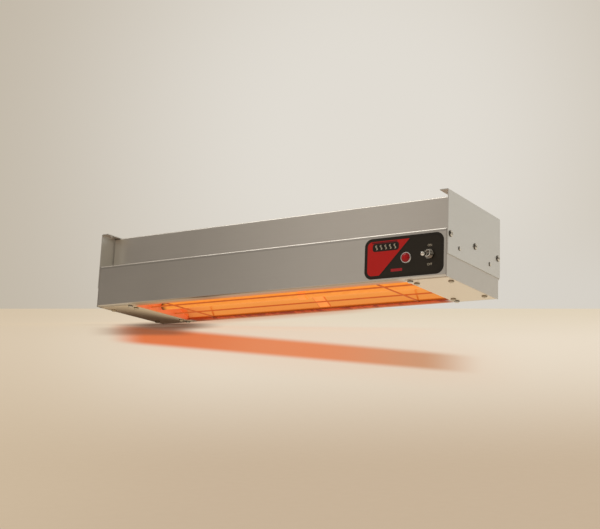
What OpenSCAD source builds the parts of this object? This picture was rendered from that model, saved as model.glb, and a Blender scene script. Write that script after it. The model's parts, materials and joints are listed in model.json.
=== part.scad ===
// Overhead strip heat warmer: a folded stainless housing hung by two end brackets, with a
// sheathed heating element in a downward-facing reflector trough behind a wire guard.
// Millimetres, +Z up, +X to the right as seen from the control side, +Y to the rear.
// The origin is the centre of the four shelf bolt holes, on the top plane of the brackets.

/* [Body] */
// Overall length over the end brackets
length = 610; // [500:1:900]
// Depth, front panel to rear panel
depth = 169; // [150:1:200]
// Height, underside of the bottom covers to the top of the brackets
height = 118; // [110:1:150]
// Height of the ledge above the underside
ledge_z = 65; // [62:1:80]
// Depth of the ledge, from the front panel to the upper box
ledge_w = 29; // [24:1:36]
// Width of the lips turned in along both sides of the opening
lip_w = 19; // [14:0.2:20]
// Length of each bottom cover, end cap to opening
cover_l = 64; // [60:1:80]

/* [Sheet] */
// Thickness of the housing sheet
skin_t = 1.0; // [0.8:0.1:1.2]
// Thickness of the end bracket sheet
bracket_t = 1.2; // [1.0:0.1:1.6]
// Thickness of the bottom covers
cover_t = 0.8; // [0.6:0.1:1.0]
// Thickness of the reflector sheet
reflector_t = 0.8; // [0.5:0.1:1.0]
// Outside radius of a folded corner
bend_r = 2.0; // [1.8:0.1:3]

/* [End brackets] */
// Height of the bracket's lower edge above the underside
bracket_z = 30; // [24:1:40]
// Width of the bracket's top flange
flange_w = 13; // [12:0.5:20]
// Diameter of a shelf bolt hole
shelf_hole_d = 5.5; // [4.5:0.5:6.5]
// Distance between the two shelf bolt holes of one bracket
shelf_hole_y = 140; // [138:1:144]

/* [Heater] */
// Diameter of the element's sheath
element_d = 10.9; // [8:0.1:12]
// Height of the element's axis above the underside
element_z = 11.5; // [11:0.5:12]
// Height of the reflector's flat crown above the underside
crown_z = 22; // [21:0.5:26]
// Diameter of the guard wire
wire_d = 2.2; // [2:0.1:2.4]
// Distance between the two guard rails
rail_gap = 59; // [50:1:70]
// Position of the element support along the length
support_x = 29; // [0:1:60]

/* [Controls] */
// Width of the control overlay
overlay_w = 118; // [110:1:120]
// Height of the control overlay
overlay_h = 56; // [50:0.1:57]
// Angle that the toggle lever leans from level, down at rest and up when switched over
lever_lean = 13; // [10:1:15]
// Distance from the lever's pivot to the centre of its round tip
lever_l = 17.2; // [16:0.1:24]

/* [Hidden] */
$fn = 48;
fit = 0.1;                                      // gap between seated sheets
eps = 0.01;
bend_steps = 5;                                 // flats that make up one folded corner
cap_t = skin_t;
lip_z = cover_t + 0.05;                         // underside of the turned-in lips
mid_y = depth / 2;
roof_z = height - bracket_t - fit;              // top face of the upper box
cap_x = length / 2 - bracket_t - fit - cap_t;   // inner face of an end cap
shell_x = cap_x - 0.5;                          // half length of the housing
cover_x = cap_x - 0.3 - cover_l;                // edge of the opening
divider_x = cover_x + 0.6;                      // hot side of a divider
divider_t = 1.0;
cross_z = lip_z + skin_t + wire_d / 2 + 0.05;   // axis height of the cross bars
rail_z = cross_z + wire_d + 0.02;               // axis height of the rails
rim_z = cross_z + wire_d / 2 + 0.1;             // underside of the reflector's flanges
rim_y = 9;
trough_y = 20;
knee_y = 41;
knee_z = 14.5;
crown_y = 65;
half_trough = [[rim_y, rim_z], [trough_y, rim_z], [knee_y, knee_z], [crown_y, crown_z]];
trough_path = concat([for (p = half_trough) [depth - p[0], p[1]]],
                     [for (i = [3:-1:0]) half_trough[i]]);
cross_bars_x = [-186, 186];
sides = [-1, 1];

// end plate fasteners, as [y, z]
bracket_screw_at = [for (y = [7.5, mid_y, depth - 7.5]) [y, 58]];
bracket_rivet_at = [for (y = [35, depth - 35]) [y, 44]];
bracket_screw_d = 4;
rivet_d = 3.2;

// bottom fasteners, as [distance from the middle, y]
cover_screw_at = [for (y = [31, depth - 31])
                      each [[cap_x - 7.4, y], [cover_x + 8, y - sign(mid_y - y) * 3]]];
edge_screw_at = [for (y = [12.5, depth - 12.5]) [cover_x + 6, y]];
cover_screw_d = 3.5;

overlay_x = length / 2 - 6 - overlay_w / 2;
overlay_z = 4 + overlay_h / 2;
overlay_r = 11;
overlay_t = 0.3;
pilot_at = [overlay_x + 4.3, 29.4];
pilot_hole_d = 8.4;
switch_at = [overlay_x + 39, 31];
barrel_d = 9.5;                                 // the switch's threaded barrel
barrel_out = 9;                                 // how far it stands out of the panel
switch_tab_z = 8;                               // height of the terminals from its axis
pivot_y = -4;
ball_r = 3;
pin_r = 0.6;

entry_at = [length / 2 - 35, (ledge_z + roof_z) / 2];
entry_hole_d = 22.2;
entry_bore_d = 15.9;

block_at = [270, 127, 37];
block_size = [36, 18, 14];
block_ways = 3;
post_x = 266;
ground_at = [140, 56];
ground_d = 4;
lead_d = 2.6;
chase_z = 80;                                   // height of the long lead above the blanket

// ---- shared shapes ----

module place() {
    translate([0, -mid_y, -height]) children();
}

// extrudes an outline drawn in Y and Z along X, about the middle
module along_x(len) {
    rotate([90, 0, 90]) linear_extrude(len, center = true) children();
}

// a plate standing across X, from an outline drawn in Y and Z
module plate_x(x, t) {
    translate([x, 0, 0]) rotate([90, 0, 90]) linear_extrude(t) children();
}

module on_side(side) {
    if (side < 0) mirror([1, 0, 0]) children();
    else children();
}

function unit(v) = v / norm(v);
function left_of(d) = [-d[1], d[0]];
function turned(v, a) = [v[0] * cos(a) - v[1] * sin(a), v[0] * sin(a) + v[1] * cos(a)];
function turn_angle(d1, d2) = atan2(d1[0] * d2[1] - d1[1] * d2[0], d1 * d2);

// points of one rounded corner, on the face that lies off to the left of the path
function corner(p, d1, d2, r, off) =
    let (a = turn_angle(d1, d2),
         s = sign(a),
         centre = p - d1 * r * tan(abs(a) / 2) + left_of(d1) * s * r)
    [for (k = [0:bend_steps])
        centre - turned(left_of(d1), a * k / bend_steps) * s * (r - s * off)];

function face(path, r, off) =
    let (n = len(path),
         first = unit(path[1] - path[0]),
         last = unit(path[n - 1] - path[n - 2]))
    concat([path[0] + left_of(first) * off],
           [for (i = [1:n - 2])
               each corner(path[i], unit(path[i] - path[i - 1]),
                           unit(path[i + 1] - path[i]), r, off)],
           [path[n - 1] + left_of(last) * off]);

function reversed(list) = [for (i = [len(list) - 1:-1:0]) list[i]];

// section of a folded sheet: the path runs along one face, and the sheet is on its right
module folded(path, t, r = bend_r) {
    polygon(concat(face(path, r, 0), reversed(face(path, r, -t))));
}

// domed head seated on z = 0, with its shank going down
module screw(head_d, head_h, shank_d, shank_l, drop = 1.1) {
    dome_r = pow(head_d / 2, 2) / (2 * drop) + drop / 2;
    intersection() {
        cylinder(d = head_d, h = head_h);
        translate([0, 0, head_h - dome_r]) sphere(r = dome_r, $fn = 96);
    }
    translate([0, 0, -shank_l]) cylinder(d = shank_d, h = shank_l + eps);
}

module holes_x(at, d, x, len) {
    for (p = at) translate([x, p[0], p[1]]) rotate([0, 90, 0]) cylinder(d = d, h = len, center = true);
}

module holes_z(at, d) {
    for (p = at) translate([p[0], p[1], -5]) cylinder(d = d, h = 12);
}

// rounds off the corners of a route once
function eased(route) =
    concat([route[0]],
           [for (i = [0:len(route) - 2])
               each [route[i] * 0.75 + route[i + 1] * 0.25, route[i] * 0.25 + route[i + 1] * 0.75]],
           [route[len(route) - 1]]);

// an insulated lead swept along a route that lies more or less across the direction `across`
module lead(route, across) {
    flats = 8;
    p = eased(eased(route));
    last = len(p) - 1;
    rings = [for (i = [0:last])
        let (t = unit(p[min(i + 1, last)] - p[max(i - 1, 0)]),
             u = unit(cross(t, across)),
             v = cross(t, u))
        for (k = [0:flats - 1])
            p[i] + (u * cos(360 * k / flats) + v * sin(360 * k / flats)) * lead_d / 2];
    walls = [for (i = [0:last - 1], k = [0:flats - 1])
        let (a = i * flats, b = a + flats, k2 = (k + 1) % flats)
        [a + k, b + k, b + k2, a + k2]];
    polyhedron(rings, concat([[for (k = [0:flats - 1]) k]], walls,
                             [[for (k = [flats - 1:-1:0]) last * flats + k]]));
}

// closed outline of the housing's section, drawn in by a margin
module hat(in, z0, top) {
    polygon([[in, z0], [depth - in, z0], [depth - in, ledge_z - in],
             [depth - ledge_w - in, ledge_z - in], [depth - ledge_w - in, top],
             [ledge_w + in, top], [ledge_w + in, ledge_z - in], [in, ledge_z - in]]);
}

// ---- sheet metal ----

module housing() {
    half = [[lip_w, lip_z], [0, lip_z], [0, ledge_z], [ledge_w, ledge_z], [ledge_w, roof_z]];
    path = concat(half, [for (p = reversed(half)) [depth - p[0], p[1]]]);
    color("#b9b4ab") place() difference() {
        along_x(2 * shell_x) folded(path, skin_t);
        for (hole = [[pilot_at, pilot_hole_d], [switch_at, barrel_d + 0.2]])
            translate([hole[0][0], 0, hole[0][1]])
                rotate([90, 0, 0]) cylinder(d = hole[1], h = 8, center = true);
        translate([entry_at[0], depth - ledge_w, entry_at[1]])
            rotate([90, 0, 0]) cylinder(d = entry_hole_d, h = 8, center = true);
        for (side = sides) on_side(side) holes_z(edge_screw_at, cover_screw_d + 0.1);
    }
}

module end_cap() {
    tab = 14;
    rear_in = 3;
    place() difference() {
        union() {
            difference() {
                plate_x(cap_x, cap_t) hat(0, 0, roof_z - bend_r + bracket_t);
                translate([cap_x - 1, depth - rear_in, -1])
                    cube([4, rear_in + 1, bracket_z - 1]);
            }
            for (y = [skin_t + fit, depth - skin_t - fit - cap_t])
                translate([cap_x - tab, y, 4]) cube([tab + eps, cap_t, ledge_z - 8]);
            translate([cap_x - tab, lip_w + 3, lip_z])
                cube([tab + eps, depth - 2 * lip_w - 6, cap_t]);
        }
        holes_x(bracket_screw_at, bracket_screw_d + fit, cap_x, 8);
        holes_x(bracket_rivet_at, rivet_d + fit, cap_x, 8);
        holes_z(cover_screw_at, cover_screw_d + fit);
    }
}

module end_cap_left() { color("#c2bdb4") mirror([1, 0, 0]) end_cap(); }
module end_cap_right() { color("#c2bdb4") end_cap(); }

module bracket() {
    hang_x = length / 2 - (bracket_t + flange_w) / 2;
    path = [[length / 2 - flange_w, height], [length / 2, height], [length / 2, bracket_z]];
    place() difference() {
        translate([0, depth, 0]) rotate([90, 0, 0]) linear_extrude(depth)
            folded(path, bracket_t);
        holes_x(bracket_screw_at, bracket_screw_d + fit, length / 2, 8);
        holes_x(bracket_rivet_at, rivet_d + fit, length / 2, 8);
        for (s = sides) translate([hang_x, mid_y + s * shelf_hole_y / 2, height - 4])
            cylinder(d = shelf_hole_d, h = 8);
    }
}

module bracket_left() { color("#cbc6bd") mirror([1, 0, 0]) bracket(); }
module bracket_right() { color("#cbc6bd") bracket(); }

module bracket_screws() {
    color("#d8d4cc") place() for (side = sides) on_side(side)
        for (p = bracket_screw_at) translate([length / 2, p[0], p[1]])
            rotate([0, 90, 0]) screw(9, 2.2, bracket_screw_d, 11);
}

module bracket_rivets() {
    color("#d8d4cc") place() for (side = sides) on_side(side)
        for (p = bracket_rivet_at) translate([length / 2, p[0], p[1]])
            rotate([0, 90, 0]) screw(6, 1.4, rivet_d, 5, 0.9);
}

module cover() {
    place() difference() {
        translate([cover_x, 8, 0]) cube([cover_l, depth - 16, cover_t]);
        holes_z(concat(cover_screw_at, edge_screw_at), cover_screw_d + fit);
    }
}

module cover_left() { color("#c9c1b0") mirror([1, 0, 0]) cover(); }
module cover_right() { color("#c9c1b0") cover(); }

module bottom_screws(at, shank_l) {
    color("#a8a294") place() for (side = sides) on_side(side)
        for (p = at) translate([p[0], p[1], 0]) mirror([0, 0, 1])
            screw(8, 2.4, cover_screw_d, shank_l);
}

module cover_screws() { bottom_screws(cover_screw_at, 8); }
module cover_edge_screws() { bottom_screws(edge_screw_at, 6); }

module divider() {
    in = skin_t + 0.4;
    tab = 14;
    place() difference() {
        union() {
            plate_x(divider_x, divider_t) hat(in, lip_z + skin_t + 0.2, roof_z - in);
            translate([divider_x, lip_w + 3, lip_z])
                cube([divider_t, depth - 2 * lip_w - 6, 4]);
            translate([divider_x, lip_w + 3, lip_z])
                cube([tab, depth - 2 * lip_w - 6, divider_t]);
        }
        holes_x([[mid_y, element_z]], 14, divider_x, 8);
        holes_x([[mid_y, chase_z]], lead_d * 2.3, divider_x, 8);
        holes_z(cover_screw_at, cover_screw_d + fit);
    }
}

module divider_left() { color("#a9a59d") mirror([1, 0, 0]) divider(); }
module divider_right() {
    color("#a9a59d") difference() {
        divider();
        place() holes_x([ground_at], ground_d + fit, divider_x, 8);
    }
}

// ---- heater ----

module reflector() {
    color("#f0a04a") place() along_x(2 * divider_x - 0.4) folded(trough_path, reflector_t);
}

module insulation_blanket() {
    top = 50;
    under = face(trough_path, bend_r, -reflector_t - 0.3);
    color("#e8e2d2") place() along_x(2 * divider_x - 1)
        polygon(concat(under, [[rim_y, top], [depth - rim_y, top]]));
}

module heating_element() {
    color("#ff8a2a") place() translate([0, mid_y, element_z])
        rotate([0, 90, 0]) cylinder(d = element_d, h = 2 * (post_x - 10), center = true);
}

module element_bushings() {
    color("#c8a24a") place() for (side = sides) on_side(side)
        translate([divider_x - 0.2, mid_y, element_z]) rotate([0, 90, 0]) difference() {
            union() {
                cylinder(d = 13.8, h = divider_t + 2);
                translate([0, 0, divider_t + 0.3]) cylinder(d = 19, h = 1.7);
            }
            translate([0, 0, -1]) cylinder(d = element_d + 0.2, h = 8);
        }
}

module element_insulators() {
    color("#efe9dd") place() for (side = sides) on_side(side)
        translate([post_x - 10, mid_y, element_z]) rotate([0, 90, 0]) difference() {
            cylinder(d = 9, h = 6);
            translate([0, 0, -1]) cylinder(d = 4.1, h = 8);
        }
}

module element_posts() {
    color("#b8b8b8") place() for (side = sides) on_side(side)
        translate([post_x - 10, mid_y, element_z]) rotate([0, 90, 0]) {
            cylinder(d = 4, h = 14);
            translate([0, 0, 6.1]) cylinder(d = 8.1, h = 3, $fn = 6);
        }
}

// a saddle lying against the reflector, and a clip that holds the element under its crown
module element_support() {
    saddle_w = 20;
    saddle_t = 0.7;
    foot = trough_path[1] * 0.9 + trough_path[2] * 0.1;
    saddle_path = concat([foot], [for (i = [2:5]) trough_path[i]], [[depth - foot[0], foot[1]]]);
    strap_w = 12;
    strap_t = 1.5;
    ring_r = element_d / 2 + 0.2;
    color("#c9a066") place() translate([support_x, 0, 0]) {
        along_x(saddle_w) polygon(concat(face(saddle_path, bend_r, fit),
                                         reversed(face(saddle_path, bend_r, fit + saddle_t))));
        along_x(strap_w) difference() {
            union() {
                translate([mid_y, element_z]) circle(r = ring_r + strap_t);
                translate([mid_y - 3, element_z]) square([6, crown_z - fit - saddle_t - element_z + eps]);
            }
            translate([mid_y, element_z]) circle(r = ring_r);
        }
    }
}

module guard_rails() {
    color("#8d8071") place() for (s = sides)
        translate([0, mid_y + s * rail_gap / 2, rail_z])
            rotate([0, 90, 0]) cylinder(d = wire_d, h = 2 * cover_x - 1, center = true);
}

module guard_crossbars() {
    color("#8d8071") place() for (x = cross_bars_x)
        translate([x, mid_y, cross_z])
            rotate([90, 0, 0]) cylinder(d = wire_d, h = depth - 2 * rim_y, center = true);
}

// ---- controls ----

module control_overlay() {
    color("#1c1a1b") place() translate([overlay_x, -fit / 2, overlay_z]) rotate([90, 0, 0])
        linear_extrude(overlay_t) difference() {
            union() {
                square([overlay_w - 2 * overlay_r, overlay_h], center = true);
                square([overlay_w, overlay_h - 2 * overlay_r], center = true);
                for (sx = sides, sz = sides)
                    translate([sx * (overlay_w / 2 - overlay_r), sz * (overlay_h / 2 - overlay_r)])
                        circle(r = overlay_r);
            }
            translate(pilot_at - [overlay_x, overlay_z]) circle(d = pilot_hole_d);
            translate(switch_at - [overlay_x, overlay_z]) circle(d = barrel_d + 0.2);
        }
}

// puts a turned piece on the panel, its axis pointing out of the front
module on_panel(at, y = -overlay_t - fit) {
    place() translate([at[0], y, at[1]]) rotate([90, 0, 0]) children();
}

module pilot_bezel() {
    color("#dcdcdc") on_panel(pilot_at) rotate_extrude()
        polygon([[6.5, 0], [7.8, 0], [7.8, 0.7], [7.2, 1.8], [6.5, 1.8]]);
}

module pilot_lens() {
    lens_r = 6.4;
    rise = 5.2;
    dome_r = 8.2;
    color("#e02818") on_panel(pilot_at) intersection() {
        cylinder(r = lens_r, h = rise);
        translate([0, 0, rise - dome_r]) sphere(r = dome_r, $fn = 96);
    }
}

module pilot_body() {
    color("#e9e5da") on_panel(pilot_at, 24) cylinder(d = 8, h = 24 + overlay_t + fit / 2);
}

module pilot_tabs() {
    color("#c8b070") on_panel(pilot_at, 24) for (s = sides)
        translate([s * 1.6 - 0.4, -1.5, -5]) cube([0.8, 3, 5]);
}

module switch_body() {
    color("#2a2826") place() translate([switch_at[0], 0, switch_at[1]]) difference() {
        translate([-9, 4, -14]) cube([18, 21, 28]);
        rotate([90, 0, 0]) cylinder(d = barrel_d, h = 14, center = true);
    }
}

module switch_bushing() {
    len = barrel_out + 7 - 0.05;
    flare = 3;
    color("#c9c9c9") place() difference() {
        translate([switch_at[0], len - barrel_out, switch_at[1]]) rotate([90, 0, 0])
            rotate_extrude() polygon([[ball_r + 0.3, 0], [barrel_d / 2 - 0.05, 0],
                [barrel_d / 2 - 0.05, len - 0.6], [barrel_d / 2 - 0.6, len], [4.1, len],
                [ball_r + 0.3, len - flare]]);
        translate([switch_at[0], pivot_y, switch_at[1]]) rotate([0, 90, 0])
            cylinder(r = pin_r + 0.02, h = 12, center = true, $fn = 24);
    }
}

module switch_nut() {
    nut_t = 2.4;
    color("#dedede") on_panel(switch_at) difference() {
        union() {
            cylinder(d = 14, h = nut_t, $fn = 6);
            cylinder(d = 12.8, h = nut_t + 0.4);
        }
        translate([0, 0, -1]) cylinder(d = barrel_d + 0.1, h = nut_t + 2);
    }
}

module switch_pin() {
    color("#9a9a9a") place() translate([switch_at[0], pivot_y, switch_at[1]]) rotate([0, 90, 0])
        cylinder(r = pin_r, h = barrel_d - 0.6, center = true, $fn = 24);
}

// bat lever: a pivot ball, a stem that widens, and a round tip, leaning down at rest
module switch_lever() {
    neck_r = 1.9;
    tip_r = 2.9;
    color("#e2e2e2") place() difference() {
        translate([switch_at[0], pivot_y, switch_at[1]]) rotate([90 + lever_lean, 0, 0]) {
            sphere(r = ball_r);
            cylinder(r1 = neck_r, r2 = tip_r, h = lever_l);
            translate([0, 0, lever_l]) sphere(r = tip_r);
        }
        translate([switch_at[0], pivot_y, switch_at[1]]) rotate([0, 90, 0])
            cylinder(r = pin_r + 0.05, h = 12, center = true, $fn = 24);
    }
}

module switch_terminals() {
    color("#c8a24a") place() for (z = [-switch_tab_z, switch_tab_z])
        translate([switch_at[0] - 3, 25, switch_at[1] + z - 0.5]) cube([6, 7, 1]);
}

// ---- wiring ----

module terminal_block() {
    way = block_size[0] / block_ways;
    color("#e4e0d4") place() translate(block_at) difference() {
        translate([-block_size[0] / 2, -block_size[1] / 2, 0]) cube(block_size);
        for (i = [0:block_ways - 1]) translate([(i - 1) * way, 0, 0]) {
            translate([0, 0, block_size[2] - 6]) cylinder(d = 7, h = 7);
            rotate([90, 0, 0]) translate([0, 5, 0]) cylinder(d = 4, h = 30, center = true);
        }
    }
}

module terminal_screws() {
    way = block_size[0] / block_ways;
    color("#c8a24a") place() for (i = [0:block_ways - 1])
        translate(block_at + [(i - 1) * way, 0, block_size[2] - 5.9]) cylinder(d = 5.5, h = 4);
}

module entry_bushing() {
    barrel = 9;
    color("#232323") place() translate([entry_at[0], depth - ledge_w + fit, entry_at[1]])
        rotate([-90, 0, 0]) rotate_extrude()
            polygon([[entry_bore_d / 2, -barrel], [entry_hole_d / 2 - 1, -barrel],
                     [entry_hole_d / 2 - 0.2, -barrel + 3], [entry_hole_d / 2 - 0.2, 0],
                     [13.2, 0], [13.2, 1], [12.4, 2], [entry_bore_d / 2, 2]]);
}

module ground_screw() {
    color("#3f8f4a") place() translate([divider_x + divider_t, ground_at[0], ground_at[1]])
        rotate([0, 90, 0]) screw(8, 2.4, ground_d, 5);
}

module lead_line() {
    color("#202020") place()
        lead([[282, 115, 42], [282, 70, 52], [switch_at[0] + 1, 40, 47],
              [switch_at[0], 33.5, switch_at[1] + switch_tab_z]], [1, 0, 0]);
}

module lead_load() {
    color("#b03a2a") place()
        lead([[switch_at[0], 33.5, switch_at[1] - switch_tab_z], [switch_at[0], 46, 18],
              [279, 76, 22], [274, mid_y, 16]], [1, 0, 0]);
}

module lead_neutral() {
    color("#d8d4ca") place()
        lead([[-274, mid_y, 16], [-280, mid_y, 30], [-278, mid_y, chase_z], [-240, mid_y, chase_z],
              [225, mid_y, chase_z], [250, mid_y, chase_z], [264, 96, 76], [260, 112, 56],
              [258, 115, 42]], [0, 1, 0.4]);
}

module lead_ground() {
    color("#4a9a50") place()
        lead([[244.4, 140, 56], [250, 149, 55], [266, 148, 46], [270, 138.5, 42]], [0, 0, 1]);
}

module lead_pilot() {
    color("#d8d4ca") place() {
        lead([[pilot_at[0], 30.8, 27.5], [pilot_at[0] + 3, 60, 28], [256, 96, 36], [254, 115, 41]],
             [0, 0, 1]);
        lead([[pilot_at[0], 30.8, 32], [pilot_at[0] + 8, 42, 38], [268, 44, 44],
              [switch_at[0] - 4.5, 34, switch_at[1] + switch_tab_z]],
             [0, 0, 1]);
    }
}

housing();
end_cap_left();
end_cap_right();
bracket_left();
bracket_right();
bracket_screws();
bracket_rivets();
cover_left();
cover_right();
cover_screws();
cover_edge_screws();
divider_left();
divider_right();
reflector();
insulation_blanket();
heating_element();
element_bushings();
element_insulators();
element_posts();
element_support();
guard_rails();
guard_crossbars();
control_overlay();
pilot_bezel();
pilot_lens();
pilot_body();
pilot_tabs();
switch_body();
switch_bushing();
switch_nut();
switch_pin();
switch_lever();
switch_terminals();
terminal_block();
terminal_screws();
entry_bushing();
ground_screw();
lead_line();
lead_load();
lead_neutral();
lead_ground();
lead_pilot();
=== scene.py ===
"""An overhead strip heat warmer on a plain pale floor: brushed stainless housing, glowing trough,
wire guard, and a control end with a printed film, a red pilot light and a toggle."""

import json
import math

import bmesh
import bpy
from mathutils import Matrix, Vector


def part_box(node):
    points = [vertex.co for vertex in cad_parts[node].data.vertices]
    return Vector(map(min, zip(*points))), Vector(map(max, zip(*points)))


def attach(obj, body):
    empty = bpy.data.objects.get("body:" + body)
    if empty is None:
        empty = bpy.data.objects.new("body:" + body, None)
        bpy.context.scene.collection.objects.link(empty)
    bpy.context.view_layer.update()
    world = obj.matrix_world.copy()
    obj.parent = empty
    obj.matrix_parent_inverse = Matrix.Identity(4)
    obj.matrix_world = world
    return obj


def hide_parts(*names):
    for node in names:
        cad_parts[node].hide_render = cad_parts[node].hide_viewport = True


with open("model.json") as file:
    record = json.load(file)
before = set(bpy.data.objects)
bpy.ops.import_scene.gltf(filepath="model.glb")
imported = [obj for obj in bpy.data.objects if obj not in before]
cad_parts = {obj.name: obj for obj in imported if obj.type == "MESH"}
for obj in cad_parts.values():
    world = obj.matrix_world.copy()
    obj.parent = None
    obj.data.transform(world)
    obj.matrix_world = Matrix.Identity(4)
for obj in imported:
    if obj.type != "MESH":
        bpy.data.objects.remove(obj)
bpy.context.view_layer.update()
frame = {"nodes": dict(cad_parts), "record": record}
NODES = frame["nodes"]
HULL = "warmer"                       # the body that everything but the toggle rides on

# ---------------------------------------------------------------- camera

# The eye and its right, down and forward directions, in the frame's axes.
EYE = Vector((0.9331, -1.3869, -0.4376))
RIGHT = Vector((0.8399, 0.5412, 0.0416))
DOWN = Vector((-0.0862, 0.2086, -0.9742))
AHEAD = Vector((-0.5359, 0.8146, 0.2218))
LENS_MM = 68.25
# The warmer leans back on its rear left corner, so the floor's upward direction is tilted here.
FLOOR_UP = Vector((0.067, -0.1795, 0.9815)).normalized()


def make_camera():
    data = bpy.data.cameras.new("camera")
    data.sensor_width = 36
    data.lens = LENS_MM
    data.clip_start, data.clip_end = 0.01, 60
    camera = bpy.data.objects.new("camera", data)
    bpy.context.scene.collection.objects.link(camera)
    turn = Matrix((RIGHT, -DOWN, -AHEAD)).transposed()
    camera.matrix_world = Matrix.Translation(EYE) @ turn.to_4x4()
    bpy.context.scene.camera = camera


make_camera()

# ---------------------------------------------------------------- shader tools


def linear(r, g, b):
    """A colour given as 0 to 255 on screen, as linear light."""
    def channel(c):
        c /= 255
        return c / 12.92 if c <= 0.04045 else ((c + 0.055) / 1.055) ** 2.4
    return (channel(r), channel(g), channel(b), 1.0)


class Sock:
    """A shader value that takes Python's operators."""

    def __init__(self, shader, link):
        self.shader, self.link = shader, link

    def _math(self, operation, a, b=None):
        values = {0: a} if b is None else {0: a, 1: b}
        return self.shader.node("ShaderNodeMath", values, operation=operation)

    def __add__(self, other): return self._math("ADD", self, other)
    def __radd__(self, other): return self._math("ADD", other, self)
    def __sub__(self, other): return self._math("SUBTRACT", self, other)
    def __rsub__(self, other): return self._math("SUBTRACT", other, self)
    def __mul__(self, other): return self._math("MULTIPLY", self, other)
    def __rmul__(self, other): return self._math("MULTIPLY", other, self)
    def __truediv__(self, other): return self._math("DIVIDE", self, other)
    def __abs__(self): return self._math("ABSOLUTE", self)

    def most(self, other): return self._math("MAXIMUM", self, other)

    def between(self, low, high, out_low=0.0, out_high=1.0):
        """Eased from out_low to out_high as the value goes from low to high."""
        return self.shader.node(
            "ShaderNodeMapRange", {0: self, 1: low, 2: high, 3: out_low, 4: out_high},
            interpolation_type="SMOOTHSTEP")


class Shader:
    """One material's or world's nodes."""

    def __init__(self, owner):
        owner.use_nodes = True
        self.tree = owner.node_tree
        self.tree.nodes.clear()

    def node(self, kind, values=None, out=0, ramp=None, **settings):
        made = self.tree.nodes.new(kind)
        for name, value in settings.items():
            setattr(made, name, value)
        if ramp:
            stops = made.color_ramp.elements
            while len(stops) < len(ramp):
                stops.new(0.5)
            for stop, (place, colour) in zip(stops, ramp):
                stop.position, stop.color = place, colour
        for key, value in (values or {}).items():
            socket = made.inputs[key]
            if isinstance(value, Sock):
                self.tree.links.new(value.link, socket)
            else:
                socket.default_value = value
        return Sock(self, made.outputs[out])

    def place(self, scale=(1, 1, 1), shift=(0, 0, 0), turn=(0, 0, 0)):
        spot = self.node("ShaderNodeTexCoord", out="Object")
        return self.node("ShaderNodeMapping",
                         {"Vector": spot, "Location": shift, "Rotation": turn, "Scale": scale})

    def axes(self):
        parts = self.node("ShaderNodeSeparateXYZ", {0: self.place()}).link.node
        return [Sock(self, parts.outputs[i]) for i in range(3)]

    def noise(self, scale, stretch=(1, 1, 1), detail=3.0, rough=0.5, shift=(0, 0, 0)):
        return self.node("ShaderNodeTexNoise",
                         {"Vector": self.place(stretch, shift), "Scale": scale,
                          "Detail": detail, "Roughness": rough}, out=0)

    def mix(self, mask, a, b):
        """Colour a where the mask is 0 and b where it is 1."""
        made = self.tree.nodes.new("ShaderNodeMix")
        made.data_type = "RGBA"
        for socket, value in ((made.inputs[0], mask), (made.inputs[6], a), (made.inputs[7], b)):
            if isinstance(value, Sock):
                self.tree.links.new(value.link, socket)
            else:
                socket.default_value = value
        return Sock(self, made.outputs[2])

    def tone(self, colour, amount):
        """The colour made lighter or darker by a value around 1."""
        if not isinstance(colour, Sock):
            colour = colour[:3]
        return self.node("ShaderNodeVectorMath", {0: colour, "Scale": amount},
                         operation="SCALE")

    def bump(self, height, strength, distance):
        return self.node("ShaderNodeBump",
                         {"Height": height, "Strength": strength, "Distance": distance})

    def finish(self, **values):
        kind = "ShaderNodeBsdfPrincipled"
        named = {name.replace("_", " "): value for name, value in values.items()}
        surface = self.node(kind, named)
        self.node_output(surface)

    def node_output(self, surface):
        output = self.tree.nodes.new("ShaderNodeOutputMaterial")
        self.tree.links.new(surface.link, output.inputs["Surface"])


def material(name):
    made = bpy.data.materials.new(name)
    return made, Shader(made)


# ---------------------------------------------------------------- metals


# Heights of the ledge's fold and of the lips' underside, in the frame's metres.
FOLD_FOOT, FOLD_TOP = -0.0582, -0.0545
LIP_TOP, LIP_UNDERSIDE = -0.1155, -0.1168
LIP_NEAR, LIP_START = 0.055, 0.066      # a lip begins this far from the middle line
TROUGH_HALF, TROUGH_FADE = 0.240, 0.225      # the trough's ends along the length


def painted_ledge_light(s, shade):
    """Painted light and shade: set-back upper run lighter than the front panel, fold a little
    darker.
    """
    z = s.axes()[2]
    shade = shade * (0.97 + 0.12 * z.between(-0.0580, -0.0552))
    painted_fold_shade = z.between(FOLD_FOOT, -0.0568) * z.between(FOLD_TOP, -0.0553)
    return shade * (1 - 0.24 * painted_fold_shade)


def lip_heat_tint_and_painted_glow(s, colour):
    """Lip undersides: heat tint, painted red glow and shade at the rear; painted orange glow in
    front.
    """
    x, y, z = s.axes()
    under = z.between(LIP_TOP, LIP_UNDERSIDE) * (1 - abs(x).between(TROUGH_FADE, TROUGH_HALF))
    # Rear lip: heat tint in blotches, with painted red glow and shade on it.
    blotches = s.noise(46, (1, 0.3, 0.3), detail=4, rough=0.7).between(0.42, 0.60)
    burnt_and_glow_lit = s.mix(blotches, linear(232, 100, 36), linear(170, 56, 22))
    # A paler painted glow on the rear lip's outer strip.
    painted_outer_glow = y.between(0.070, 0.084)
    scorch_and_glow_mask = under * y.between(LIP_NEAR, LIP_START)
    colour = s.mix(scorch_and_glow_mask, colour, s.mix(painted_outer_glow, burnt_and_glow_lit, linear(224, 162, 124)))
    # A pale warm grey band near the front lip's inner edge.
    colour = s.mix(under * y.between(-0.064, -0.070), colour, linear(184, 170, 152))
    # Painted reflection of the orange glow on the front lip.
    painted_front_glow = y.between(-0.082, -0.070) * y.between(-LIP_NEAR, -LIP_START)
    colour = s.mix(under * painted_front_glow, colour, linear(226, 150, 92))
    return colour, scorch_and_glow_mask


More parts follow.
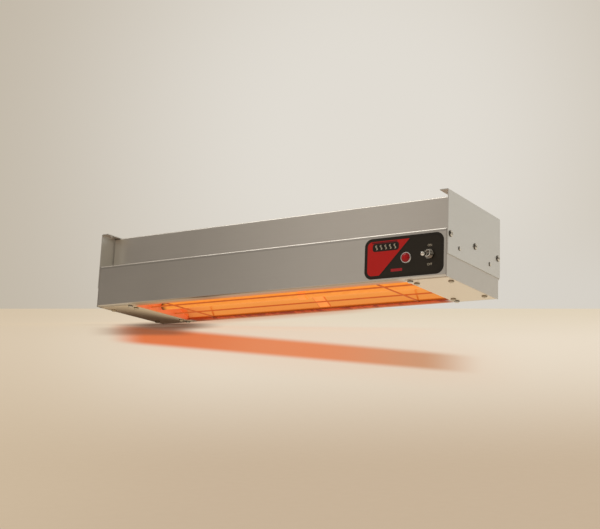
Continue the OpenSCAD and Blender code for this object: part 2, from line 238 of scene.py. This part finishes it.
def brushed_sheet(name, colour, along, rough=0.34, housing=False):
    """Stainless sheet with fine grain lines that run along one axis, 0, 1 or 2."""
    made, s = material(name)
    stretch = [1.0, 1.0, 1.0]
    stretch[along] = 0.012
    grain = s.noise(2600, stretch, detail=2)
    streaks = s.noise(420, stretch, detail=3, rough=0.6, shift=(0.3, 0.1, 0.7))
    clouds = s.noise(9, detail=4, rough=0.6)
    handling = s.noise(34, (1, 1, 1.6), detail=5, rough=0.7, shift=(2, 5, 1))
    shade = 0.965 + 0.035 * grain + 0.03 * streaks + 0.03 * clouds - 0.02 * handling
    scorch_and_glow_mask = 0.0
    if housing:
        # Painted light on the ledge's upper run and painted shade on its fold.
        shade = painted_ledge_light(s, shade)
        # Heat tint with painted glow and shade on the lips' undersides.
        colour, scorch_and_glow_mask = lip_heat_tint_and_painted_glow(s, colour)
    s.finish(Base_Color=s.tone(colour, shade), Metallic=1 - 0.85 * scorch_and_glow_mask,
             Roughness=rough - 0.06 + 0.10 * grain + 0.07 * clouds + 0.05 * handling
             + 0.5 * scorch_and_glow_mask,
             Normal=s.bump(grain + 0.5 * streaks, 0.10, 0.00012))
    return made


def painted_trough_glow(name):
    """Bright sheet with a painted glow of the element's light: yellow in the crown, redder rear and
    ends.
    """
    made, s = material(name)
    x, y, z = s.axes()
    crown = z.between(-0.110, -0.097)
    ends = abs(x).between(0.16, 0.238)
    rear = y.between(0.025, 0.066)
    rim = y.between(0.064, 0.076)
    ripple = s.noise(60, (0.25, 1, 1), detail=4, rough=0.6)
    rolled = s.noise(1600, (0.02, 1, 1), detail=2)
    glow_tint = s.mix(rear, linear(252, 147, 52), linear(238, 121, 38))
    # Painted shade on the rear rim.
    glow_tint = s.mix(rim * 0.9, glow_tint, linear(168, 52, 18))
    glow_tint = s.mix(ends * x.between(0.0, -0.1), glow_tint, linear(224, 78, 26))
    power = 0.40 + 0.07 * crown + 0.16 * ripple
    # The base is tinted orange too as painted reflected glow, darker red at the rim as painted
    # shade.
    s.finish(Base_Color=s.mix(rim, linear(196, 146, 82), linear(176, 64, 26)), Metallic=1.0,
             Roughness=0.16 + 0.10 * rolled + 0.08 * ripple,
             Emission_Color=s.tone(glow_tint, power), Emission_Strength=1.0,
             Normal=s.bump(ripple + 0.15 * rolled, 0.25, 0.0006))
    return made


def painted_glow_wall(name, colour):
    """The sheet that closes the trough: plain up high, with a painted red glow low between the
    rims.
    """
    made, s = material(name)
    y, z = s.axes()[1:]
    # Painted glow: red emission low on the sheet, between the rims.
    painted_glow_mask = (1 - z.between(-0.098, -0.094)) * (1 - abs(y).between(0.060, 0.070))
    patch = s.noise(50, detail=4, rough=0.6)
    grain = s.noise(1200, (1, 0.02, 1), detail=2)
    s.finish(Base_Color=s.tone(colour, 0.9 + 0.15 * patch), Metallic=1.0,
             Roughness=0.4 + 0.12 * grain,
             Emission_Color=s.tone(linear(238, 78, 22), painted_glow_mask * (0.38 + 0.36 * patch)),
             Emission_Strength=1.0, Normal=s.bump(grain, 0.1, 0.0002))
    return made


def hot_sheath(name):
    """The element's sheath: glowing in the trough, grey and oxidised at its cold ends."""
    made, s = material(name)
    x = s.axes()[0]
    cold = abs(x).between(0.226, TROUGH_HALF)
    scale = s.noise(260, (0.4, 1, 1), detail=5, rough=0.65)
    oxide = s.noise(90, detail=3)
    glow_tint = s.mix(scale, linear(244, 142, 50), linear(252, 166, 70))
    s.finish(Base_Color=s.mix(cold, linear(120, 62, 40), linear(112, 106, 98)),
             Metallic=0.4, Roughness=0.55 + 0.2 * oxide,
             Emission_Color=s.tone(glow_tint, (1 - cold) * (0.78 + 0.2 * scale)),
             Emission_Strength=1.0, Normal=s.bump(scale, 0.3, 0.0003))
    return made


def wire_with_painted_glow(name, colour, glow):
    """Guard wire: dull, with a painted faint red glow in the trough."""
    made, s = material(name)
    y = s.axes()[1]
    # Painted red glow on the wire where it crosses the trough.
    near = 1 - abs(y).between(0.045, 0.075)
    tint = s.noise(70, detail=4, rough=0.6)
    scale = s.noise(900, detail=3)
    s.finish(Base_Color=s.tone(colour, 0.7 + 0.6 * tint), Metallic=0.85,
             Roughness=0.42 + 0.2 * scale,
             Emission_Color=s.tone(glow, near * (0.7 + 0.5 * tint)), Emission_Strength=1.0,
             Normal=s.bump(scale, 0.2, 0.0002))
    return made


def strap_with_painted_glow(name):
    """The saddle and clip at mid length: a painted glow as bright as the trough, with dark cut
    edges.
    """
    made, s = material(name)
    low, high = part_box("element_support")
    middle, half = (low.x + high.x) / 2, (high.x - low.x) / 2
    edge = abs(s.axes()[0] - middle).between(half - 0.0016, half - 0.0006)
    tint = s.noise(70, detail=4, rough=0.6)
    scale = s.noise(900, detail=3)
    # Painted glow colour, darker along the cut edges.
    glow_tint = s.mix(edge, linear(232, 124, 48), linear(160, 58, 24))
    s.finish(Base_Color=s.tone(linear(196, 140, 90), 0.7 + 0.6 * tint), Metallic=0.85,
             Roughness=0.42 + 0.2 * scale, Emission_Color=s.tone(glow_tint, 0.7 + 0.5 * tint),
             Emission_Strength=1.0, Normal=s.bump(scale, 0.2, 0.0002))
    return made


def plated(name, colour, rough=0.16):
    """Plated or polished metal with slight wear."""
    made, s = material(name)
    wear = s.noise(180, detail=5, rough=0.7)
    fine = s.noise(1400, detail=2)
    s.finish(Base_Color=s.tone(colour, 0.93 + 0.12 * wear), Metallic=1.0,
             Roughness=rough + 0.12 * wear + 0.04 * fine,
             Normal=s.bump(fine + wear, 0.06, 0.0002))
    return made


def head_with_painted_seat_shade(name, colour, dark, axis, seat, top):
    """Plated heads with painted shade towards their seat and down in the cross recess."""
    made, s = material(name)
    out = abs(s.axes()[axis]).between(seat + 0.3 * (top - seat), seat + 0.85 * (top - seat))
    wear = s.noise(420, detail=4, rough=0.7)
    s.finish(Base_Color=s.mix(out, dark, s.tone(colour, 0.92 + 0.12 * wear)),
             Metallic=1.0, Roughness=0.14 + 0.12 * wear, Normal=s.bump(wear, 0.06, 0.0002))
    return made


def painted_screw(name, colour):
    """A screw with a coloured finish, worn on its head."""
    made, s = material(name)
    wear = s.noise(320, detail=4, rough=0.7)
    s.finish(Base_Color=s.tone(colour, 0.85 + 0.3 * wear), Metallic=0.6,
             Roughness=0.32 + 0.2 * wear, Normal=s.bump(wear, 0.1, 0.0002))
    return made


# ---------------------------------------------------------------- plastics and others


def moulded(name, colour, rough=0.45):
    """Moulded plastic with a fine grained face."""
    made, s = material(name)
    grain = s.noise(1500, detail=2)
    clouds = s.noise(40, detail=4, rough=0.6)
    s.finish(Base_Color=s.tone(colour, 0.92 + 0.16 * clouds), Roughness=rough + 0.1 * clouds,
             Normal=s.bump(grain, 0.08, 0.0002))
    return made


def printed_film(name, colour, rough=0.3):
    """Polyester film printed on the back: a soft orange-peel face over a flat ink."""
    made, s = material(name)
    peel = s.noise(900, detail=2)
    ink = s.noise(55, detail=3, rough=0.6)
    s.finish(Base_Color=s.tone(colour, 0.93 + 0.14 * ink), Roughness=rough + 0.08 * peel,
             Specular_IOR_Level=0.22, Normal=s.bump(peel, 0.07, 0.0002))
    return made


def lit_lens(name):
    """Clear red lens over a neon lamp, brightest at its middle."""
    made, s = material(name)
    low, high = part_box("pilot_lens")
    middle = (low + high) / 2
    away = s.node("ShaderNodeVectorMath",
                  {0: s.place((1, 0, 1)), 1: (middle.x, 0, middle.z)}, out=1,
                  operation="DISTANCE")
    glow = away.between(0.0005, 0.0062, 1.0, 0.25)
    prism = s.noise(900, (1, 0.2, 1), detail=1)
    s.finish(Base_Color=linear(128, 4, 8), Roughness=0.2 + 0.06 * prism, Specular_IOR_Level=0.3,
             Emission_Color=s.tone(linear(150, 8, 12), glow),
             Emission_Strength=0.55, Normal=s.bump(prism, 0.12, 0.0003))
    return made


def felted(name, colour):
    """Ceramic fibre pad: tufted and layered."""
    made, s = material(name)
    tufts = s.noise(240, detail=6, rough=0.75)
    layers = s.noise(90, (0.3, 0.3, 4), detail=3)
    s.finish(Base_Color=s.tone(colour, 0.8 + 0.3 * tufts), Roughness=0.95,
             Normal=s.bump(tufts + 0.4 * layers, 0.7, 0.002))
    return made


def fired_clay(name, colour):
    """Fired ceramic, with a painted orange glow where it faces the trough."""
    made, s = material(name)
    grit = s.noise(700, detail=4)
    blush = s.noise(60, detail=2)
    x = s.axes()[0]
    painted_clay_glow = abs(x).between(0.2405, 0.2385) * blush
    s.finish(Base_Color=s.tone(colour, 0.9 + 0.15 * blush), Roughness=0.55 + 0.15 * grit,
             Emission_Color=s.tone(linear(236, 110, 40), painted_clay_glow), Emission_Strength=0.9,
             Normal=s.bump(grit, 0.2, 0.0003))
    return made


def sleeved_lead(name, colour):
    """Braided glass sleeve: crossing yarns over the lead."""
    made, s = material(name)
    yarn = s.node("ShaderNodeTexWave",
                  {"Vector": s.place((1, 1, 1), turn=(0.5, 0.4, 0.7)), "Scale": 380,
                   "Distortion": 0.6}, out="Fac")
    cross = s.node("ShaderNodeTexWave",
                   {"Vector": s.place((1, 1, 1), turn=(-0.5, -0.4, -0.7)), "Scale": 380,
                    "Distortion": 0.6}, out="Fac")
    weave = yarn.most(cross)
    s.finish(Base_Color=s.tone(colour, 0.7 + 0.4 * weave), Roughness=0.7,
             Normal=s.bump(weave, 0.5, 0.0004))
    return made


STEEL = linear(214, 211, 206)
CHROME = linear(226, 225, 222)
MATERIALS = {
    "stainless": brushed_sheet("stainless", STEEL, 0, rough=0.27, housing=True),
    "bracket_stainless": brushed_sheet("bracket_stainless", linear(224, 223, 219), 1, rough=0.34),
    "cap_stainless": brushed_sheet("cap_stainless", STEEL, 1, rough=0.38),
    # The covers' sheet is lighter and warmer than the housing's, partly a painted reflection of the
    # warm floor.
    "cover_stainless": brushed_sheet("cover_stainless", linear(238, 228, 212), 0, rough=0.36),
    "plated_screw": plated("plated_screw", linear(222, 218, 210), 0.14),
    "brass_part": plated("brass_part", linear(208, 170, 98), 0.3),
    "inner_sheet": painted_glow_wall("inner_sheet", linear(190, 186, 180)),
    "reflector_sheet": painted_trough_glow("reflector_sheet"),
    "ceramic_fibre": felted("ceramic_fibre", linear(232, 226, 212)),
    "hot_sheath": hot_sheath("hot_sheath"),
    "ceramic_part": fired_clay("ceramic_part", linear(234, 229, 218)),
    "support_strap": strap_with_painted_glow("support_strap"),
    "guard_wire": wire_with_painted_glow("guard_wire", linear(140, 84, 50), linear(176, 82, 34)),
    "overlay_film": printed_film("overlay_film", linear(40, 36, 32)),
    "chromed": plated("chromed", CHROME, 0.08),
    "nut_plate": plated("nut_plate", linear(150, 145, 138), 0.16),
    "red_lens": lit_lens("red_lens"),
    "white_nylon": moulded("white_nylon", linear(232, 228, 216)),
    "black_phenolic": moulded("black_phenolic", linear(38, 36, 34), 0.4),
    "green_screw": painted_screw("green_screw", linear(70, 140, 80)),
    "black_lead": sleeved_lead("black_lead", linear(40, 38, 36)),
    "red_lead": sleeved_lead("red_lead", linear(168, 50, 40)),
    "white_lead": sleeved_lead("white_lead", linear(224, 220, 208)),
    "green_lead": sleeved_lead("green_lead", linear(80, 150, 84)),
}
# The element's bushings wear the trough's end sheet, painted glow included.
OWN_FINISH = {"end_cap_left": "cap_stainless", "end_cap_right": "cap_stainless",
              "cover_left": "cover_stainless", "cover_right": "cover_stainless",
              "switch_nut": "nut_plate", "element_bushings": "inner_sheet"}


def dress(thing, finish):
    thing.data.materials.clear()
    thing.data.materials.append(MATERIALS[finish])


def dress_cad_nodes():
    for part in frame["record"]["subparts"]:
        finish = OWN_FINISH.get(part["node"], part["material_slot"])
        dress(NODES[part["node"]], finish)


dress_cad_nodes()

# ---------------------------------------------------------------- mesh tools


def piece(name, bm, finish, body=HULL, smooth=True):
    """Turns a bmesh into a piece that rides on a body."""
    mesh = bpy.data.meshes.new(name)
    bm.to_mesh(mesh)
    bm.free()
    for face in mesh.polygons:
        face.use_smooth = smooth
    thing = bpy.data.objects.new(name, mesh)
    bpy.context.scene.collection.objects.link(thing)
    dress(thing, finish)
    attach(thing, body)
    return thing


def grow(bm, face, rings):
    """Draws a face out through rings of (radius share, rise), each from the one before."""
    for share, rise in rings:
        made = bmesh.ops.extrude_face_region(bm, geom=[face])["geom"]
        bmesh.ops.delete(bm, geom=[face], context="FACES_ONLY")
        face = next(g for g in made if isinstance(g, bmesh.types.BMFace))
        middle = face.calc_center_median()
        for v in face.verts:
            v.co = middle + (v.co - middle) * share + Vector((0, 0, rise))
    return face


def cross_reach(angle, length, width):
    """How far a cross of two bars reaches from its middle, at an angle."""
    c, s = abs(math.cos(angle)) + 1e-9, abs(math.sin(angle)) + 1e-9
    return max(min(length / c, width / s), min(width / c, length / s))


def domed_head(bm, radius, height, recess, turn):
    """A domed fastener head that stands on z = 0, with or without a cross recess."""
    start = len(bm.verts)
    made = bmesh.ops.create_circle(bm, cap_ends=True, radius=radius, segments=48)
    face = made["verts"][0].link_faces[0]
    if face.normal.z < 0:
        face.normal_flip()
    steps = 6
    face = grow(bm, face, [(1.0, height * 0.45), (0.985, height * 0.04)])
    reach = radius * 0.985
    level = height * 0.49
    for i in range(1, steps + 1):
        angle = math.radians(78) * i / steps
        wide = radius * math.cos(angle)
        high = height * (0.49 + 0.51 * math.sin(angle) / math.sin(math.radians(78)))
        if recess and wide < recess * 1.25:
            break
        face = grow(bm, face, [(wide / reach, high - level)])
        reach, level = wide, high
    if recess:
        face = grow(bm, face, [(recess * 1.2 / reach, height - level)])
        face = grow(bm, face, [(1.0, 0.0)])
        for v in face.verts:
            angle = math.atan2(v.co.y, v.co.x)
            far = cross_reach(angle, recess, recess * 0.24)
            v.co.x, v.co.y = far * math.cos(angle), far * math.sin(angle)
        face = grow(bm, face, [(0.9, -height * 0.25), (0.55, -height * 0.42)])
    bm.verts.ensure_lookup_table()
    new = bm.verts[start:]
    bmesh.ops.rotate(bm, verts=new, cent=(0, 0, 0), matrix=Matrix.Rotation(turn, 3, "Z"))
    return new


def islands(node):
    """The low and high corner of each separate solid in a CAD node."""
    bm = bmesh.new()
    bm.from_mesh(NODES[node].data)
    bmesh.ops.remove_doubles(bm, verts=bm.verts, dist=1e-6)
    left = set(bm.verts)
    found = []
    while left:
        group, edge = set(), [left.pop()]
        while edge:
            v = edge.pop()
            group.add(v)
            for e in v.link_edges:
                other = e.other_vert(v)
                if other in left:
                    left.discard(other)
                    edge.append(other)
        low = Vector([min(v.co[i] for v in group) for i in range(3)])
        high = Vector([max(v.co[i] for v in group) for i in range(3)])
        found.append((low, high))
    bm.free()
    return sorted(found, key=lambda box: tuple(box[0]))


# Heads past the end plates face outward, and heads below the covers face down.
PLATE_X, COVER_UNDERSIDE = 0.3, -0.118


# The dark colour is painted shade at each head's seat and in its recess.
def fasteners(name, node, height, recess, colour=linear(226, 222, 214),
              dark=linear(66, 60, 52)):
    """Replaces a node of fasteners by finely made heads, facing the way each one stands out."""
    low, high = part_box(node)
    axis = 0 if high.x > PLATE_X and low.z > COVER_UNDERSIDE else 2
    top = abs(high.x) if axis == 0 else abs(low.z)
    MATERIALS[name] = head_with_painted_seat_shade(name, colour, dark, axis, top - height, top)
    bm = bmesh.new()
    for index, (low, high) in enumerate(islands(node)):
        size = high - low
        axis = 0 if size.x > size.z else 2
        middle = (low + high) / 2
        outward = 1 if (middle[axis] > 0 and axis == 0) else -1
        radius = size.y / 2
        seat = (high if outward > 0 else low)[axis] - outward * height
        head = domed_head(bm, radius, height, recess, 0.7 + index * 1.13)
        facing = Vector((outward, 0, 0)) if axis == 0 else Vector((0, 0, outward))
        turn = Vector((0, 0, 1)).rotation_difference(facing).to_matrix()
        bmesh.ops.rotate(bm, verts=head, cent=(0, 0, 0), matrix=turn)
        spot = middle.copy()
        spot[axis] = seat
        bmesh.ops.translate(bm, verts=head, vec=spot)
    bmesh.ops.recalc_face_normals(bm, faces=bm.faces)
    made = piece(name, bm, name)
    edges = made.modifiers.new("soft_edges", "BEVEL")
    edges.width, edges.segments, edges.limit_method = 0.00012, 2, "ANGLE"
    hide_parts(node)


fasteners("bracket_screw_heads", "bracket_screws", 0.0022, 0.0026)
# The heads under the covers are warmer, with a paler painted seat shade.
fasteners("cover_screw_heads", "cover_screws", 0.0024, 0.0024, linear(206, 196, 178),
          linear(122, 106, 84))
fasteners("cover_edge_screw_heads", "cover_edge_screws", 0.0024, 0.0024)
fasteners("bracket_rivet_heads", "bracket_rivets", 0.0014, 0)

# ---------------------------------------------------------------- label print

INK_STEP = 0.00002


def ink_shape(name, outline, finish, layer=1):
    """A flat printed shape on the film, its outline in millimetres from the film's lower left."""
    low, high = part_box("control_overlay")
    bm = bmesh.new()
    face_y = low.y - INK_STEP * layer
    verts = [bm.verts.new((low.x + x / 1000, face_y, low.z + z / 1000)) for x, z in outline]
    face = bm.faces.new(verts)
    if face.normal.y > 0:
        face.normal_flip()
    bmesh.ops.triangulate(bm, faces=[face])
    return piece(name, bm, finish, smooth=False)


def arc(cx, cz, radius, start, end, steps=8):
    """Points round part of a circle, angles in degrees."""
    return [(cx + radius * math.cos(math.radians(a)), cz + radius * math.sin(math.radians(a)))
            for a in (start + (end - start) * i / steps for i in range(steps + 1))]


MATERIALS["red_ink"] = printed_film("red_ink", linear(192, 28, 25))
MATERIALS["crimson_ink"] = printed_film("crimson_ink", linear(104, 22, 34))
MATERIALS["pale_ink"] = printed_film("pale_ink", linear(196, 190, 176))
MATERIALS["grey_ink"] = printed_film("grey_ink", linear(44, 40, 34))
MATERIALS["dim_ink"] = printed_film("dim_ink", linear(172, 40, 50))


def film_size():
    """The film's width and height in millimetres."""
    low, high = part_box("control_overlay")
    return (high.x - low.x) * 1000, (high.z - low.z) * 1000


def ink_fields():
    """A red field and a dark grey one, meeting along a slanting line inside a black border."""
    border, radius = 4.4, 6.8
    width, height = film_size()
    near, top, far = border + radius, height - border, width - border
    red_top, red_foot = width * 0.575, width * 0.193
    ink_shape("label_red_field",
              arc(near, near, radius, 270, 180) + arc(near, top - radius, radius, 180, 90)
              + [(red_top, top), (red_foot, border)], "red_ink")
    ink_shape("label_grey_field",
              [(red_foot + 4, border), (red_top + 4, top)]
              + arc(far - radius, top - radius, radius, 90, 0)
              + arc(far - radius, near, radius, 0, -90), "grey_ink")
    ink_shape("label_top_stripe", [(near, top - 2.6), (width * 0.42, top - 2.6),
                                   (width * 0.42, top - 0.9), (near, top - 0.9)], "crimson_ink", 2)


def heat_badge():
    """A dark badge with a row of rising waves, a plain sign for radiant heat."""
    left, right, foot, top, radius = 12.0, 52.0, 37.5, 48.8, 3.6
    ink_shape("label_badge",
              arc(right - radius, foot + radius, radius, -90, 0)
              + arc(right - radius, top - radius, radius, 0, 90)
              + arc(left + radius, top - radius, radius, 90, 180)
              + arc(left + radius, foot + radius, radius, 180, 270), "overlay_film", 2)
    count, rise, half, steps = 5, 6.6, 0.8, 14
    for index in range(count):
        x0 = left + 6 + (right - left - 12) * index / (count - 1)
        near, far = [], []
        for i in range(steps + 1):
            t = i / steps
            spot = x0 + 1.2 * math.sin(2 * math.pi * t)
            z = (foot + top - rise) / 2 + rise * t
            near.append((spot - half, z))
            far.append((spot + half, z))
        ink_shape(f"label_wave_{index}", near + far[::-1], "pale_ink", 3)


def lettering(name, text, size, middle_x, middle_z, finish):
    """Small plain lettering for the switch's two positions."""
    low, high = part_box("control_overlay")
    curve = bpy.data.curves.new(name, "FONT")
    curve.body, curve.size, curve.align_x, curve.align_y = text, size, "CENTER", "CENTER"
    holder = bpy.data.objects.new(name, curve)
    bpy.context.scene.collection.objects.link(holder)
    bpy.context.view_layer.update()
    mesh = bpy.data.meshes.new_from_object(holder)
    bpy.data.objects.remove(holder)
    bm = bmesh.new()
    bm.from_mesh(mesh)
    bmesh.ops.rotate(bm, verts=bm.verts, cent=(0, 0, 0),
                     matrix=Matrix.Rotation(math.pi / 2, 3, "X"))
    bmesh.ops.translate(bm, verts=bm.verts,
                        vec=(middle_x, low.y - 2 * INK_STEP, middle_z))
    piece(name, bm, finish, smooth=False)


def switch_marks():
    """ON above the switch and OFF below it."""
    low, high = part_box("switch_nut")
    x, z = (low.x + high.x) / 2, (low.z + high.z) / 2
    lettering("label_on", "ON", 0.0042, x, z + 0.0122, "pale_ink")
    lettering("label_off", "OFF", 0.0042, x, z - 0.0136, "pale_ink")


def pilot_mark():
    """A plain bar below the pilot light."""
    ink_shape("label_pilot_mark", [(40.5, 8.2), (57.5, 8.2), (57.5, 12.0), (40.5, 12.0)],
              "dim_ink", 2)


ink_fields()
heat_badge()
switch_marks()
pilot_mark()

# ---------------------------------------------------------------- stage

WALL_HIGH = linear(225, 220, 211)
WALL_DIM = linear(194, 184, 168)
FLOOR_RADIUS = 9.0
FLOOR_GAP, FOOTPRINT_GAP = 0.0004, 0.0002      # how far each lies under the lowest corner


def seen_from_eye(s, spot):
    """How far across and below the eye's middle line a direction lies, as tangents."""
    def along(direction):
        return s.node("ShaderNodeVectorMath", {0: spot, 1: direction}, out=1,
                      operation="DOT_PRODUCT")
    ahead = along(AHEAD).most(0.2)
    return along(RIGHT) / ahead, along(DOWN) / ahead, along


def make_world():
    """A pale wall, lighter behind the warmer, with a soft bright field off to the right."""
    world = bpy.data.worlds.new("studio")
    bpy.context.scene.world = world
    s = Shader(world)
    ray = s.node("ShaderNodeTexCoord", out="Generated")
    across, below, along = seen_from_eye(s, ray)
    offset = s.node("ShaderNodeCombineXYZ", {0: across - 0.06, 1: (below + 0.11) * 0.9})
    away = s.node("ShaderNodeVectorMath", {0: offset}, out=1, operation="LENGTH")
    wall = s.mix(away.between(0.06, 0.38), WALL_HIGH, WALL_DIM)
    wall = s.mix(across.between(-0.14, 0.05) * below.between(-0.06, 0.03) * 0.8, wall,
                 linear(216, 211, 202))
    bright = along(RIGHT).between(0.45, 0.8) * along(AHEAD).between(0.0, 0.4)
    wall = s.mix(bright, wall, linear(216, 212, 204))
    height = along(FLOOR_UP)
    sky = s.mix(height.between(-0.10, 0.0), linear(222, 205, 180), wall)
    surface = s.node("ShaderNodeBackground", {"Color": sky, "Strength": 1.0})
    output = s.tree.nodes.new("ShaderNodeOutputWorld")
    s.tree.links.new(surface.link, output.inputs["Surface"])


def glow_band(s, paper, across, below):
    """The orange band of the trough's light on the paper, with a faint haze round it."""
    line = below - 0.0747 - 0.0875 * across
    reach = across.between(-0.172, -0.135) * across.between(0.165, 0.105)
    glow = abs(line).between(0.0098, 0.0048) * reach
    haze = abs(line).between(0.030, 0.004)
    haze = haze * across.between(-0.2, -0.1) * across.between(0.22, 0.1)
    tint = s.mix(across.between(-0.12, -0.02), linear(222, 110, 50), linear(226, 131, 80))
    tint = s.mix(across.between(0.0, 0.14), tint, linear(200, 150, 114))
    paper = s.mix(haze * 0.14, paper, linear(226, 150, 100))
    return s.mix(glow, paper, tint)


def warm_edge(s, paper, across, below):
    """Warm light that spills just past the rear lower edge."""
    past_edge = below + 0.0776 * across - 0.0428
    warm = past_edge.between(0.0052, 0.0) * past_edge.between(-0.006, -0.001)
    warm = warm * across.between(-0.125, -0.10) * across.between(0.09, 0.03)
    return s.mix(warm * 0.72, paper, linear(206, 148, 114))


def corner_shadow(s, paper, across, below):
    """The dark touch and the shadow where the low corner meets the paper."""
    shade = abs(below - 0.0588).between(0.0052, 0.0012) * across.between(-0.19, -0.14)
    shade = shade * across.between(-0.085, -0.115)
    paper = s.mix(shade * 0.75, paper, linear(124, 72, 44))
    offset = s.node("ShaderNodeCombineXYZ", {0: (across + 0.116) * 0.085, 1: below - 0.0540})
    touch = s.node("ShaderNodeVectorMath", {0: offset}, out=1, operation="LENGTH")
    return s.mix(touch.between(0.0046, 0.0012) * 0.88, paper, linear(84, 42, 22))


def floor_paper():
    """Pale paper with painted light: lightest at mid distance, with the warmer's glow and its
    shadow on it.
    """
    made, s = material("floor_paper")
    spot = s.node("ShaderNodeVectorMath", {0: s.place(), 1: tuple(EYE)}, operation="SUBTRACT")
    across, below = seen_from_eye(s, spot)[:2]
    tooth = s.noise(500, detail=3)
    # Painted falloff of light: lightest at mid distance, darker near the eye and to the left.
    paper = s.mix(below.between(0.036, 0.068), linear(221, 207, 183), linear(230, 217, 198))
    paper = s.mix(below.between(0.067, 0.182), paper, linear(198, 177, 151))
    paper = s.mix(across.between(-0.06, -0.28) * 0.7, paper, linear(204, 184, 156))
    paper = glow_band(s, paper, across, below)
    paper = warm_edge(s, paper, across, below)
    paper = corner_shadow(s, paper, across, below)
    # Most of the paper's brightness is painted as its own glow; a little is real diffuse shading.
    s.finish(Base_Color=s.tone(paper, 0.10), Roughness=0.55 + 0.1 * tooth,
             Specular_IOR_Level=0.1, Emission_Color=s.tone(paper, 0.902), Emission_Strength=1.0)
    return made


def footprint_painted_shadow():
    """The paper right under the low corner, where the warmer's own shadow falls."""
    made, s = material("footprint_painted_shadow")
    x, y = s.axes()[:2]
    beside = x - 0.53 * y
    hidden = beside.between(-0.47, -0.38) * beside.between(-0.268, -0.298)
    hidden = hidden * y.between(-0.07, -0.005) * y.between(0.30, 0.18)
    tooth = s.noise(300, detail=3)
    paper = s.mix(hidden * (0.86 + 0.12 * tooth), linear(222, 202, 172), linear(58, 29, 12))
    s.node_output(s.node("ShaderNodeEmission", {"Color": paper, "Strength": 1.0}))
    return made


def stage_object(name, bm, finish, mirror_only=False):
    """Makes a stage object of a mesh. Some are seen only in reflections."""
    mesh = bpy.data.meshes.new(name)
    bm.to_mesh(mesh)
    bm.free()
    thing = bpy.data.objects.new(name, mesh)
    bpy.context.scene.collection.objects.link(thing)
    if mirror_only:
        thing.visible_camera = thing.visible_diffuse = thing.visible_shadow = False
    mesh.materials.append(finish)
    return thing


def make_floor():
    """The tilted floor under the lowest corner, and the painted shadow under it that the steel
    mirrors.
    """
    lowest = min(v.co.dot(FLOOR_UP) for node in NODES.values() for v in node.data.vertices)
    tilt = Vector((0, 0, 1)).rotation_difference(FLOOR_UP).to_matrix()
    bm = bmesh.new()
    bmesh.ops.create_circle(bm, cap_ends=True, radius=FLOOR_RADIUS, segments=96)
    bmesh.ops.rotate(bm, verts=bm.verts, cent=(0, 0, 0), matrix=tilt)
    bmesh.ops.translate(bm, verts=bm.verts, vec=FLOOR_UP * (lowest - FLOOR_GAP))
    floor = stage_object("floor", bm, floor_paper())
    rise = lowest - FOOTPRINT_GAP
    bm = bmesh.new()
    corners = [(-0.6, -0.1), (-0.15, -0.1), (-0.15, 0.4), (-0.6, 0.4)]
    bm.faces.new([bm.verts.new((x, y, (rise - x * FLOOR_UP.x - y * FLOOR_UP.y) / FLOOR_UP.z))
                  for x, y in corners])
    shadow = stage_object("footprint", bm, footprint_painted_shadow(), mirror_only=True)


def area_light(name, at, toward, size, power, colour):
    """A soft round lamp."""
    data = bpy.data.lights.new(name, "AREA")
    data.shape, data.size, data.energy, data.color = "DISK", size, power, colour
    lamp = bpy.data.objects.new(name, data)
    lamp.location = at
    lamp.rotation_mode = "QUATERNION"
    lamp.rotation_quaternion = (Vector(toward) - Vector(at)).to_track_quat("-Z", "Y")
    bpy.context.scene.collection.objects.link(lamp)


def make_card(name, middle, size, turn, tones):
    """A card that only reflections see. Tones are (share of its width, colour)."""
    bm = bmesh.new()
    bmesh.ops.create_grid(bm, x_segments=1, y_segments=1, size=0.5)
    uv = bm.loops.layers.uv.new("card")
    for face in bm.faces:
        for loop in face.loops:
            loop[uv].uv = (loop.vert.co.x + 0.5, loop.vert.co.y + 0.5)
    bmesh.ops.scale(bm, verts=bm.verts, vec=(size[0], size[1], 1))
    place = Matrix.Translation(middle) @ Matrix.Rotation(turn, 4, "Z")
    place = place @ Matrix.Rotation(math.pi / 2, 4, "X")
    bmesh.ops.transform(bm, matrix=place, verts=bm.verts)
    made, s = material(name)
    spot = s.node("ShaderNodeUVMap", uv_map="card")
    share = s.node("ShaderNodeSeparateXYZ", {0: spot})
    tone = s.node("ShaderNodeValToRGB", {0: share}, ramp=tones)
    surface = s.node("ShaderNodeEmission", {"Color": tone, "Strength": 1.0})
    s.node_output(surface)
    card = stage_object(name, bm, made, mirror_only=True)


def card_grey(v):
    """A grey that is warmer the darker it is."""
    return linear(v, v * (0.895 + 0.00031 * v), v * (0.782 + 0.00061 * v))


def make_cards():
    """One card gives the front its falling tone, and dark ones give the bright metal depth."""
    left, width = -6.0, 6.6
    tones = [(-6.0, 128), (-2.7, 152), (-2.1, 106), (-1.75, 108), (-1.35, 204), (-1.0, 224),
             (-0.6, 160), (0.6, 132)]
    make_card("front_card", (left + width / 2, -2.2, 0.9), (width, 4.0), 0,
              [((x - left) / width, card_grey(v)) for x, v in tones])
    make_card("dark_card", (2.3, -2.4, -1.05), (2.6, 2.6), math.radians(38),
              [(0.0, linear(60, 56, 50)), (1.0, linear(86, 80, 72))])
    make_card("side_card", (2.6, 0.1, 0.3), (1.9, 3.2), math.radians(90),
              [(0.0, linear(40, 37, 33)), (1.0, linear(58, 54, 49))])


make_world()
make_floor()
make_cards()
area_light("key", (-0.9, -0.6, 1.9), (0, 0, 0), 1.2, 9, (1.0, 0.97, 0.92))
bpy.context.scene.view_settings.view_transform = "Standard"
